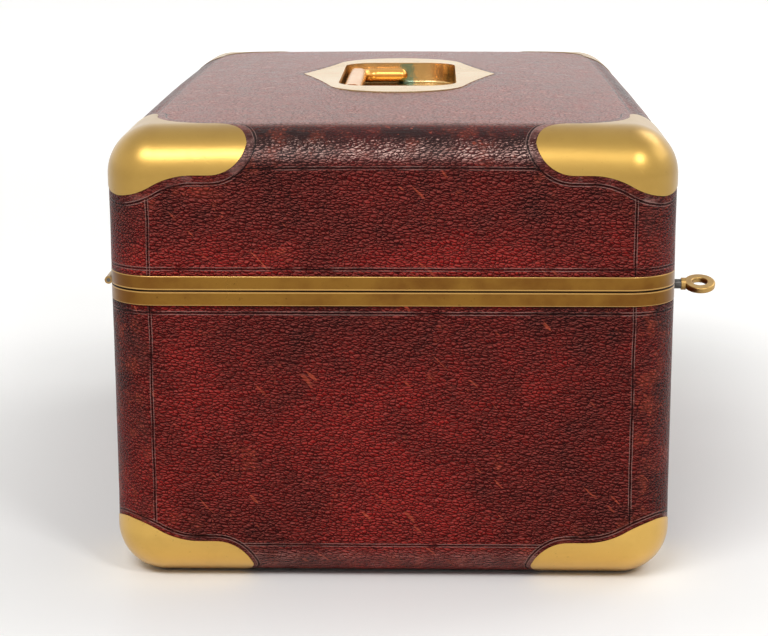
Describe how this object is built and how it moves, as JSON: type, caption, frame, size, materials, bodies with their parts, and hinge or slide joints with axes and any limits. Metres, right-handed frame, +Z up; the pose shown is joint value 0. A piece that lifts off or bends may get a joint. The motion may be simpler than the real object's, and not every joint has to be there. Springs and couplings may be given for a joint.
{
  "type": "jewellery box",
  "caption": "Leather-covered jewellery box with hinged lid, brass corners and rims, sunk bail handle, bolt lock with key, lid stay and lift-out ring tray.",
  "frame": {"origin": "middle of the base, on the surface the box stands on", "axes": "+X along the box, -Y towards the lock and the key, +Y towards the hinge, +Z up"},
  "size_m": [0.3536, 0.2724, 0.1922],
  "materials": {
    "leather": "pebbled burgundy morocco leather, satin, rubbed at the edges",
    "base_leather": "flat dark leather, matt",
    "corner_brass": "satin, lightly scratched",
    "rim_brass": "satin, browned with age",
    "plate_brass": "smooth satin",
    "bail_brass": "polished by use",
    "hinge_brass": "dull, aged",
    "lock_brass": "plain, satin",
    "lock_steel": "filed, oiled",
    "key_steel": "darkened",
    "key_brass": "worn, dull",
    "screw_brass": "slotted heads, dull",
    "carcass_wood": "planed, unvarnished",
    "velvet": "short silk velvet",
    "silk": "padded silk",
    "ribbon": "silk ribbon"
  },
  "bodies": {
    "case": {"base_board": "carcass_wood", "front_board": "carcass_wood", "back_board": "carcass_wood", "left_board": "carcass_wood", "right_board": "carcass_wood", "case_leather": "leather", "base_cover": "base_leather", "case_corner_front_left": "corner_brass", "case_corner_front_right": "corner_brass", "case_corner_back_left": "corner_brass", "case_corner_back_right": "corner_brass", "case_rim": "rim_brass", "hinge_case_leaf": "hinge_brass", "hinge_case_screws": "screw_brass", "hinge_pin": "key_steel", "lock_case": "lock_brass", "lock_cap": "lock_brass", "lock_screws": "screw_brass", "key_ferrule": "lock_brass", "case_side_lining": "velvet", "case_floor_pad": "silk", "tray_ledges": "velvet", "stay_stud": "lock_brass"},
    "lid": {"lid_top_board": "carcass_wood", "lid_front_board": "carcass_wood", "lid_back_board": "carcass_wood", "lid_left_board": "carcass_wood", "lid_right_board": "carcass_wood", "lid_leather": "leather", "lid_corner_front_left": "corner_brass", "lid_corner_front_right": "corner_brass", "lid_corner_back_left": "corner_brass", "lid_corner_back_right": "corner_brass", "lid_rim": "rim_brass", "hinge_lid_leaf": "hinge_brass", "hinge_lid_screws": "screw_brass", "handle_plate": "plate_brass", "handle_pins": "key_steel", "handle_nuts": "screw_brass", "link_plate": "lock_brass", "link_screws": "screw_brass", "lid_side_lining": "velvet", "lid_pad": "silk", "stay_screw": "lock_brass"},
    "bail": {"handle_bail": "bail_brass"},
    "lock_barrel": {"lock_barrel": "lock_steel"},
    "lock_bolt": {"lock_bolt": "lock_steel"},
    "key": {"key_shank": "key_steel", "key_bow": "key_brass"},
    "stay_arm": {"stay_arm": "lock_brass"},
    "tray": {"tray_frame": "velvet", "tray_long_divider": "velvet", "tray_cross_dividers": "velvet", "ring_rolls": "velvet", "tray_tabs": "ribbon"}
  },
  "joints": [
    {"name": "lid_hinge", "type": "hinge", "parent": "case", "child": "lid", "pos_m": [0, 0.1169, 0.1231], "axis": [-1, 0, 0], "range_deg": [0, 100]},
    {"name": "handle_pivot", "type": "hinge", "parent": "lid", "child": "bail", "pos_m": [0, 0, 0.1864], "axis": [1, 0, 0], "range_deg": [0, 90]},
    {"name": "barrel_turn", "type": "hinge", "parent": "case", "child": "lock_barrel", "pos_m": [0, -0.108, 0.09], "axis": [0, 1, 0], "range_deg": [0, 90]},
    {"name": "key_withdraw", "type": "slide", "parent": "lock_barrel", "child": "key", "axis": [0, -1, 0], "range_m": [0, 0.04]},
    {"name": "bolt_slide", "type": "slide", "parent": "case", "child": "lock_bolt", "axis": [1, 0, 0], "range_m": [0, 0.0092]},
    {"name": "stay_pivot", "type": "hinge", "parent": "lid", "child": "stay_arm", "pos_m": [0.1619, 0.06248, 0.1311], "axis": [1, 0, 0], "range_deg": [0, 50]},
    {"name": "tray_lift", "type": "slide", "parent": "case", "child": "tray", "axis": [0, 0, 1], "range_m": [0, 0.04]}
  ],
  "couplings": [
    {"joint": "bolt_slide", "follows": "barrel_turn", "m_per_rad": 0.0058521},
    {"joint": "stay_pivot", "follows": "lid_hinge", "ratio": 0.5}
  ]
}
